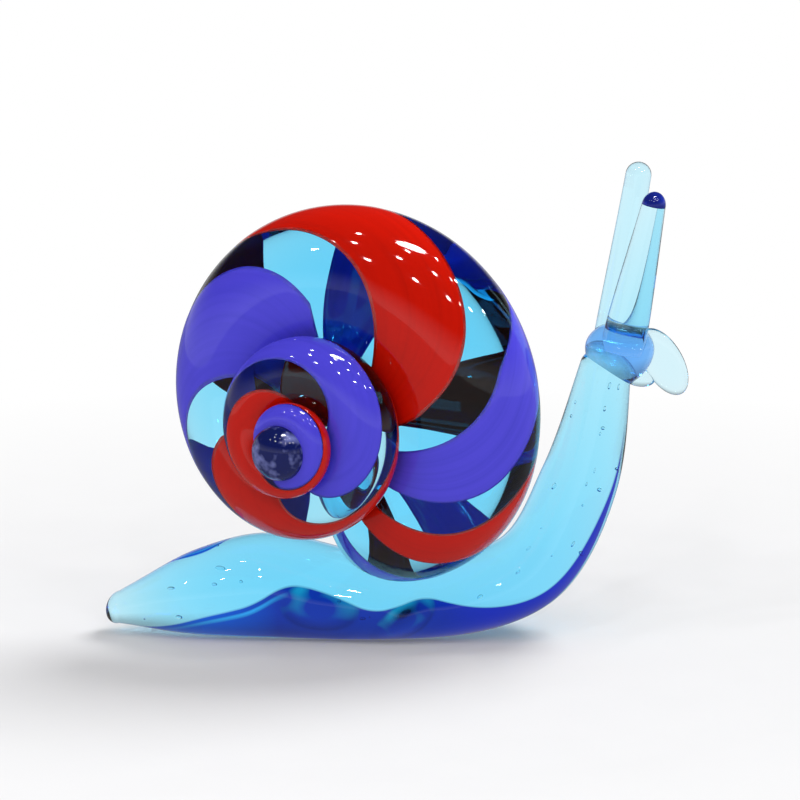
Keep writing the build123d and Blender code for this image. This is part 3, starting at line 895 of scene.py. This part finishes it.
def lobe_rings(scene, grow=0.0):
    """Rings and poles of the lobe, a flat pad with a full round edge."""
    head = scene.snail_head
    centre = by_neck(scene, head.lobe_ahead, 0, -head.lobe_below)
    lean = pi / 2 + head.lobe_tilt
    long = np.array([cos(lean), 0, sin(lean)])
    wide = np.array([-sin(lean), 0, cos(lean)])
    turn = np.arange(96) / 96 * 2 * pi
    rim = (head.lobe_length / 2 + grow) * np.cos(turn)[:, None] * long
    rim = rim + (head.lobe_width / 2 + grow) * np.sin(turn)[:, None] * wide
    steps = np.linspace(-pi / 2, pi / 2, 46)[1:-1]
    half = head.lobe_thickness / 2 + grow
    reach = np.sign(np.sin(steps)) * np.abs(np.sin(steps)) ** 0.7 * half
    swell = np.cos(steps) ** 0.5
    front = np.array([0, 1.0, 0])
    rings = centre + rim * swell[:, None, None] + front * reach[:, None, None]
    return rings, [centre - front * half, centre + front * half]


class SNAIL_OT_mouth(bpy.types.Operator):
    """Builds the mouth: a lobe pinched flat, and the small bridge of glass below it"""

    bl_idname = "snail.mouth"
    bl_label = "Mouth"

    def execute(self, context):
        scene = context.scene
        head = scene.snail_head
        glass = aqua_glass(scene.snail_colours)
        lobe = skin("snail_mouth_lobe", *lobe_rings(scene))
        fuse(lobe, head_rings(scene, -head.seam))
        place(lobe, glass, "mouth_lobe")
        rings, poles = dab_rings(
            by_neck(scene, head.bridge_ahead, 0, -head.bridge_below),
            np.array([cos(head.bridge_tilt), 0, sin(head.bridge_tilt)]), np.array([0, 1.0, 0]),
            head.bridge_width / 2, head.bridge_width / 2, head.bridge_length / 2, head.bridge_length / 2,
        )
        bridge = skin("snail_mouth_bridge", rings, poles)
        fuse(bridge, head_rings(scene, -head.seam), neck_rings(scene), lobe_rings(scene, -head.seam))
        place(bridge, glass, "mouth_bridge")
        return {"FINISHED"}


# Materials


def add(tree, kind, sockets=None, **settings):
    """Adds one shader node with its settings; a socket gets a value, or a link from another node's output."""
    node = tree.nodes.new("ShaderNode" + kind)
    for key, value in settings.items():
        setattr(node, key, value)
    for key, value in (sockets or {}).items():
        if isinstance(value, bpy.types.NodeSocket):
            tree.links.new(value, node.inputs[key])
        else:
            node.inputs[key].default_value = value
    return node


def new_material(name):
    """An empty node material."""
    material = bpy.data.materials.new(name)
    material.use_nodes = True
    material.node_tree.nodes.clear()
    return material, material.node_tree


def rgba(shade):
    """A colour as a node's socket takes it."""
    return (*shade, 1.0)


def absorbing(shade, depth):
    """Absorption colour and density at which that depth of glass lets this shade through."""
    loss = [-np.log(max(part, 0.004)) / depth for part in shade]
    density = max(loss)
    return [1 - part / density for part in loss] + [1.0], density


def between(tree, value, rise_from, rise_to, fall_from, fall_to):
    """One where the value lies in a band with soft edges, and nothing outside it."""
    rise = add(tree, "MapRange", {"Value": value, "From Min": rise_from, "From Max": rise_to})
    fall = add(tree, "MapRange", {
        "Value": value, "From Min": fall_from, "From Max": fall_to, "To Min": 1.0, "To Max": 0.0
    })
    both = add(tree, "Math", {0: rise.outputs[0], 1: fall.outputs[0]}, operation="MULTIPLY")
    return both.outputs[0]


def layered(tree, tint, layers):
    """A tint with other colours laid over it one by one, each by its share."""
    for share, shade in layers:
        tint = add(tree, "Mix", {0: share, 6: tint, 7: shade}, data_type="RGBA").outputs[2]
    return tint


def painted_dark_foot_tint(tree, place_in, below, colours):
    """Painted tint of the dark foot, a painted reflection of the dark surroundings: blue to the tail, navy
    with painted light in teal crescents and painted shade on its lumps, violet to the neck.
    """
    ahead = add(tree, "SeparateXYZ", {"Vector": place_in}).outputs["X"]
    to_lumps = add(tree, "MapRange", {"Value": ahead, "From Min": -16 * MM, "From Max": -10 * MM})
    to_neck = add(tree, "MapRange", {"Value": ahead, "From Min": 2 * MM, "From Max": 8 * MM})
    # Painted light: a pale line that follows the slope behind the first lump
    behind = between(tree, ahead, -20 * MM, -15 * MM, -12 * MM, -9 * MM)
    line = between(tree, below, 0.12, 0.16, 0.17, 0.24)
    line = add(tree, "Math", {0: line, 1: behind}, operation="MULTIPLY")
    # Painted light: crescents on the upper side of the lumps, broken up by clouds about 2.5 mm long
    cloud = add(tree, "TexNoise", {"Vector": place_in, "Scale": 1 / (2.5 * MM), "Detail": 1.0})
    breaks = add(tree, "MapRange", {"Value": cloud.outputs["Fac"], "From Min": 0.4, "From Max": 0.6})
    lump = add(tree, "Attribute", attribute_name="lump").outputs["Fac"]
    upper = add(tree, "Attribute", attribute_name="upper").outputs["Fac"]
    crescent = between(tree, lump, 0.05, 0.2, 0.3, 0.65)
    for factor in (upper, breaks.outputs[0]):
        crescent = add(tree, "Math", {0: crescent, 1: factor}, operation="MULTIPLY").outputs[0]
    # Painted shade on their lower side
    under = add(tree, "Math", {0: 0.8, 1: upper}, operation="SUBTRACT").outputs[0]
    shade = between(tree, lump, 0.0, 0.12, 0.16, 0.5)
    shade = add(tree, "Math", {0: shade, 1: under}, operation="MULTIPLY", use_clamp=True)
    return layered(tree, rgba(colours.painted_dark_foot_tail), (
        (to_lumps.outputs[0], rgba(colours.painted_dark_foot)),
        (to_neck.outputs[0], rgba(colours.painted_dark_foot_neck)),
        (line.outputs[0], rgba(colours.painted_pale_line)),
        (crescent, rgba(colours.painted_lump_light)),
        (shade.outputs[0], rgba(colours.painted_lump_shade)),
    ))


def clear_glass(name, shade, depth, colours):
    """A transparent glass with painted shade at its edge, a painted dark reflection in the foot where the
    piece carries one, faint flame ripples and drawn striae.
    """
    material, tree = new_material(name)
    place_in = add(tree, "TexCoord").outputs["Object"]
    # Striae, the fine threads of denser glass that a drawn rod keeps: about 1.5 mm apart
    striae = add(tree, "TexNoise", {"Vector": place_in, "Scale": 1 / (1.5 * MM), "Detail": 3.0})
    # Ripples from the flame: about 4 mm across and far too low to feel
    ripple = add(tree, "TexNoise", {"Vector": place_in, "Scale": 1 / (4 * MM), "Detail": 1.0})
    bump = add(tree, "Bump", {"Height": ripple.outputs["Fac"], "Strength": 0.25, "Distance": 0.12 * MM})
    # Painted shade: the tint darkens towards the outline, by the viewing angle
    facing = add(tree, "LayerWeight", {"Blend": 0.5})
    edge = add(tree, "Math", {0: facing.outputs["Facing"], 1: 5.0}, operation="POWER")
    # Painted reflection: the dark foot, where the piece carries it
    below = add(tree, "Attribute", attribute_name="below").outputs["Fac"]
    painted_dark_foot = add(tree, "MapRange", {"Value": below, "From Min": 0.0, "From Max": 0.05})
    tint = layered(tree, rgba(colours.aqua_skin), (
        (edge.outputs[0], rgba(colours.painted_edge_shade)),
        (painted_dark_foot.outputs[0], painted_dark_foot_tint(tree, place_in, below, colours)),
    ))
    polish = add(tree, "MapRange", {"Value": striae.outputs["Fac"], "To Min": 0.0, "To Max": 0.02})
    surface = add(tree, "BsdfPrincipled", {
        "Base Color": tint, "Roughness": polish.outputs[0], "Normal": bump.outputs[0],
        "IOR": 1.5, "Transmission Weight": 1.0,
    })
    tone, density = absorbing(shade, depth)
    inside = add(tree, "VolumeAbsorption", {"Color": tone, "Density": density})
    add(tree, "OutputMaterial", {"Surface": surface.outputs[0], "Volume": inside.outputs[0]})
    return material


# Soda-lime rod glass tinted aqua by copper, fire polished: clear, wet gloss, and deeper where it is thick
def aqua_glass(colours):
    made = bpy.data.materials.get("aqua_soda_lime_glass")
    if made is None:
        made = clear_glass("aqua_soda_lime_glass", colours.aqua, 10 * MM, colours)
    return made


# The same glass with more cobalt, so that a small dab is already a strong blue
def blue_glass(colours):
    return clear_glass("blue_soda_lime_glass", colours.blue, 4 * MM, colours)


def opaque_glass(name, shade, deep_shade):
    """Opaque coloured rod glass: an even, wet-looking skin with streaks drawn out along the rod."""
    material, tree = new_material(name)
    lay = add(tree, "Attribute", attribute_name="lay")
    # Streaks run with the rod, 12.5 mm long and 1.25 mm wide
    size = (1 / (12.5 * MM), 1 / (1.25 * MM), 1)
    drawn = add(tree, "Mapping", {"Vector": lay.outputs["Vector"], "Scale": size})
    streaks = add(tree, "TexNoise", {"Vector": drawn.outputs[0], "Scale": 1.0, "Detail": 4.0})
    streak = streaks.outputs["Fac"]
    depth = add(tree, "MapRange", {"Value": streak, "From Min": 0.45, "From Max": 1.1})
    tint = layered(tree, rgba(shade), [(depth.outputs[0], rgba(deep_shade))])
    polish = add(tree, "MapRange", {"Value": streak, "To Min": 0.02, "To Max": 0.07})
    surface = add(tree, "BsdfPrincipled", {
        "Base Color": tint, "Roughness": polish.outputs[0], "IOR": 1.5,
    })
    add(tree, "OutputMaterial", {"Surface": surface.outputs[0]})
    return material


# Cobalt rod glass melted to a small dome: nearly black, with paler clouds where it ran into its neighbour
def cobalt_glass(name, shade, pale_shade):
    material, tree = new_material(name)
    place_in = add(tree, "TexCoord").outputs["Object"]
    # Clouds about 1.2 mm across
    cloud = add(tree, "TexNoise", {"Vector": place_in, "Scale": 1 / (1.2 * MM), "Detail": 2.0})
    cover = add(tree, "MapRange", {"Value": cloud.outputs["Fac"], "From Min": 0.5, "From Max": 0.75})
    tint = layered(tree, rgba(shade), [(cover.outputs[0], rgba(pale_shade))])
    surface = add(tree, "BsdfPrincipled", {"Base Color": tint, "Roughness": 0.03, "IOR": 1.5})
    add(tree, "OutputMaterial", {"Surface": surface.outputs[0]})
    return material


# Matt white paper: even and pale, it shows the shadow but no gloss
def paper(colours):
    material, tree = new_material("matt_white_paper")
    place_in = add(tree, "TexCoord").outputs["Object"]
    # Fibre clouds about 6 mm across
    fibre = add(tree, "TexNoise", {"Vector": place_in, "Scale": 1 / (6 * MM), "Detail": 4.0})
    darker = tuple(part * 0.97 for part in colours.paper)
    tint = layered(tree, rgba(colours.paper), [(fibre.outputs["Fac"], rgba(darker))])
    sheet = add(tree, "BsdfPrincipled", {"Base Color": tint, "Roughness": 0.9})
    path = add(tree, "LightPath")
    # In gloss the ground is a dull grey, so that the shell's lower half keeps its colour
    gloss = add(tree, "Math", {
        0: path.outputs["Is Glossy Ray"], 1: path.outputs["Is Transmission Ray"]
    }, operation="SUBTRACT", use_clamp=True)
    level = add(tree, "MapRange", {"Value": gloss.outputs[0], "To Min": 1.0, "To Max": 0.3})
    glow = add(tree, "Emission", {"Color": (1, 1, 1, 1), "Strength": level.outputs[0]})
    # White where it is seen through glass or far from the snail, and shaded close to it
    away = add(tree, "VectorMath", {0: place_in}, operation="LENGTH")
    fade = add(tree, "MapRange", {
        "Value": away.outputs["Value"], "From Min": 42 * MM, "From Max": 105 * MM,
        "To Min": 0.12, "To Max": 1.0,
    })
    share = add(tree, "Math", {
        0: fade.outputs[0], 1: path.outputs["Is Camera Ray"]
    }, operation="MULTIPLY").outputs[0]
    for ray in ("Is Transmission Ray", "Is Glossy Ray"):
        share = add(tree, "Math", {0: share, 1: path.outputs[ray]}, operation="MAXIMUM").outputs[0]
    both = add(tree, "MixShader", {0: share, 1: sheet.outputs[0], 2: glow.outputs[0]})
    add(tree, "OutputMaterial", {"Surface": both.outputs[0]})
    return material


# Stage


def set_world(studio):
    """Even white light, seen in gloss as a dark ceiling over a pale horizon, and through glass as a tent."""
    world = bpy.data.worlds.new("light_tent")
    world.use_nodes = True
    tree = world.node_tree
    tree.nodes.clear()
    path = add(tree, "LightPath")
    way = add(tree, "TexCoord").outputs["Generated"]
    height = add(tree, "SeparateXYZ", {"Vector": way}).outputs["Z"]
    ceiling = add(tree, "MapRange", {
        "Value": height, "From Min": 0.05, "From Max": 0.3, "To Min": 0.7, "To Max": 0.04
    })
    tent = add(tree, "MapRange", {
        "Value": height, "From Min": 0.1, "From Max": 0.45, "To Min": 1.0, "To Max": 0.6
    })
    shown = add(tree, "Mix", {
        0: path.outputs["Is Transmission Ray"], 2: ceiling.outputs[0], 3: tent.outputs[0]
    }, data_type="FLOAT")
    backdrop = add(tree, "Math", {
        0: shown.outputs[0], 1: path.outputs["Is Camera Ray"]
    }, operation="MAXIMUM")
    # One for a look from the camera, in gloss or through glass, and nothing for scattered light
    seen = path.outputs["Is Camera Ray"]
    for ray in ("Is Glossy Ray", "Is Transmission Ray"):
        seen = add(tree, "Math", {0: seen, 1: path.outputs[ray]}, operation="MAXIMUM").outputs[0]
    strength = add(tree, "Mix", {0: seen, 2: studio.ambient, 3: backdrop.outputs[0]}, data_type="FLOAT")
    light = add(tree, "Background", {"Color": (1, 1, 1, 1), "Strength": strength.outputs[0]})
    add(tree, "OutputWorld", {"Surface": light.outputs[0]})
    bpy.context.scene.world = world


def heading(turn, rise):
    """Unit vector turned from the viewer's side to the right and risen from the horizon, in degrees."""
    turn, rise = radians(turn), radians(rise)
    return Vector((sin(turn) * cos(rise), -cos(turn) * cos(rise), sin(rise)))


def add_light(name, kind, way, target, distance, **settings):
    """A light in that direction from the target, facing it."""
    light = bpy.data.lights.new(name, kind)
    for key, value in settings.items():
        setattr(light, key, value)
    holder = bpy.data.objects.new(name, light)
    holder.location = target + way * distance
    holder.rotation_euler = way.to_track_quat("Z", "Y").to_euler()
    bpy.context.scene.collection.objects.link(holder)
    return holder


def add_lights(studio, target):
    """A soft window behind, a softbox overhead and a dome of small lamps in front."""
    window = add_light(
        "window", "SUN", heading(128, 50), target, studio.lamp_distance,
        energy=studio.window_strength, angle=radians(30),
    )
    window.visible_glossy = False
    window.visible_transmission = False
    softbox = add_light(
        "softbox", "AREA", heading(21, 76), target, studio.lamp_distance, energy=studio.softbox_power,
        shape="ELLIPSE", size=studio.softbox_width, size_y=studio.softbox_width / 2,
    )
    softbox.visible_diffuse = False
    # Rows of small lamps in degrees: rise, turn to each side, step
    rows = ((38, 60, 24), (54, 48, 32), (68, 60, 60))
    lamps = [(turn, rise) for rise, edge, step in rows for turn in range(-edge, edge + 1, step)]
    for count, (turn, rise) in enumerate(lamps, 1):
        add_light(
            f"small_lamp_{count}", "AREA", heading(turn, rise), target, studio.lamp_distance,
            energy=studio.lamp_power, shape="DISK", size=studio.lamp_size,
        )


class SNAIL_OT_stage(bpy.types.Operator):
    """Sets the white ground, the light and the camera"""

    bl_idname = "snail.stage"
    bl_label = "Stage"

    def execute(self, context):
        scene = context.scene
        studio = scene.snail_studio
        scene.view_settings.view_transform = "Standard"
        set_world(studio)
        reach = 2.5
        below = -0.03 * MM
        signs = ((-1, -1), (1, -1), (1, 1), (-1, 1))
        corners = [(ahead * reach, side * reach, below) for ahead, side in signs]
        mesh = bpy.data.meshes.new("ground")
        mesh.from_pydata(corners, [], [(0, 1, 2, 3)])
        ground = bpy.data.objects.new("ground", mesh)
        scene.collection.objects.link(ground)
        mesh.materials.append(paper(scene.snail_colours))
        target = Vector(studio.target)
        add_lights(studio, target)
        camera = bpy.data.objects.new("camera", bpy.data.cameras.new("camera"))
        camera.data.lens = studio.focal
        camera.data.sensor_width = 36
        camera.data.clip_start = 0.01
        back = Vector((0, -cos(studio.elevation), sin(studio.elevation)))
        camera.location = target + back * studio.distance
        camera.rotation_euler = back.to_track_quat("Z", "Y").to_euler()
        scene.collection.objects.link(camera)
        scene.camera = camera
        return {"FINISHED"}


class SNAIL_PT_panel(bpy.types.Panel):
    """Lists the builders of the snail's pieces"""

    bl_idname = "SNAIL_PT_panel"
    bl_label = "Glass snail"
    bl_space_type = "VIEW_3D"
    bl_region_type = "UI"
    bl_category = "Snail"

    def draw(self, context):
        for builder in BUILDERS:
            self.layout.operator(builder.bl_idname)


GROUPS = {
    "snail_body": SnailBodySizes,
    "snail_shell": SnailShellSizes,
    "snail_stripes": SnailStripeSizes,
    "snail_head": SnailHeadSizes,
    "snail_colours": SnailColours,
    "snail_studio": SnailStudio,
}
BUILDERS = (
    SNAIL_OT_shell_cane, SNAIL_OT_stripes, SNAIL_OT_apex_bead, SNAIL_OT_body,
    SNAIL_OT_head, SNAIL_OT_feelers, SNAIL_OT_mouth, SNAIL_OT_stage,
)


def register():
    for group in GROUPS.values():
        bpy.utils.register_class(group)
    for name, group in GROUPS.items():
        setattr(bpy.types.Scene, name, bpy.props.PointerProperty(type=group))
    for builder in BUILDERS:
        bpy.utils.register_class(builder)
    bpy.utils.register_class(SNAIL_PT_panel)


def unregister():
    bpy.utils.unregister_class(SNAIL_PT_panel)
    for builder in reversed(BUILDERS):
        bpy.utils.unregister_class(builder)
    for name in GROUPS:
        delattr(bpy.types.Scene, name)
    for group in reversed(list(GROUPS.values())):
        bpy.utils.unregister_class(group)


def main():
    register()
    bpy.ops.snail.shell_cane()
    bpy.ops.snail.stripes()
    bpy.ops.snail.apex_bead()
    bpy.ops.snail.body()
    bpy.ops.snail.head()
    bpy.ops.snail.feelers()
    bpy.ops.snail.mouth()
    bpy.ops.snail.stage()


if __name__ == "__main__":
    main()
